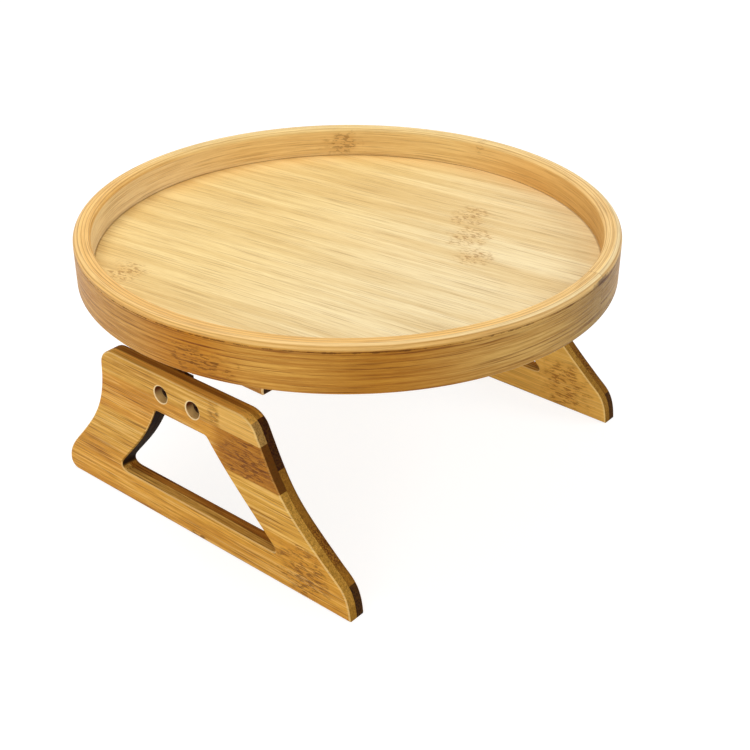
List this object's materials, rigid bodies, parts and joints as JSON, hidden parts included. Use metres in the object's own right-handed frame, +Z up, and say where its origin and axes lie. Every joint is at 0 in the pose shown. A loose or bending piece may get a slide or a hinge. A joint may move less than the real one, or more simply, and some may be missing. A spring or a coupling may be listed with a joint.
{
  "type": "folding-leg tray",
  "caption": "Round bamboo tray with a raised hoop rim on flat cut-out legs that hinge under it, to stand over a sofa arm or fold flat.",
  "frame": {"origin": "on the ground under the middle of the round tray, with the legs upright", "axes": "+Z up, +X from the left leg to the right leg, +Y along the legs' feet, from their sharp toes to their rounded heels"},
  "size_m": [0.2498, 0.25, 0.1235],
  "materials": {
    "rim_bamboo": "clear satin lacquer on bent bamboo strip",
    "floor_bamboo": "clear satin lacquer on a pale bamboo panel",
    "leg_bamboo": "clear satin lacquer on two-ply bamboo board",
    "batten_bamboo": "clear satin lacquer on bamboo block",
    "hinge_steel": "dark bronze-plated sheet steel",
    "screw_steel": "dark bronze-plated steel"
  },
  "bodies": {
    "tray": {"tray_rim": "rim_bamboo", "tray_floor": "floor_bamboo", "left_batten": "batten_bamboo", "left_batten_screw_front": "screw_steel", "left_batten_screw_back": "screw_steel", "left_hinge_fixed_leaf": "hinge_steel", "left_hinge_pin": "hinge_steel", "left_leaf_screw_front": "screw_steel", "left_leaf_screw_back": "screw_steel", "right_batten": "batten_bamboo", "right_batten_screw_front": "screw_steel", "right_batten_screw_back": "screw_steel", "right_hinge_fixed_leaf": "hinge_steel", "right_hinge_pin": "hinge_steel", "right_leaf_screw_front": "screw_steel", "right_leaf_screw_back": "screw_steel"},
    "left_leg": {"left_leg": "leg_bamboo", "left_hinge_moving_leaf": "hinge_steel", "left_leg_screw_front": "screw_steel", "left_leg_screw_back": "screw_steel"},
    "right_leg": {"right_leg": "leg_bamboo", "right_hinge_moving_leaf": "hinge_steel", "right_leg_screw_front": "screw_steel", "right_leg_screw_back": "screw_steel"}
  },
  "joints": [
    {"name": "left_leg_fold", "type": "hinge", "parent": "tray", "child": "left_leg", "pos_m": [-0.0942, 0.0157, 0.0801], "axis": [0, -1, 0], "range_deg": [-85, 90]},
    {"name": "right_leg_fold", "type": "hinge", "parent": "tray", "child": "right_leg", "pos_m": [0.0942, 0.0157, 0.0801], "axis": [0, 1, 0], "range_deg": [-85, 90]}
  ]
}
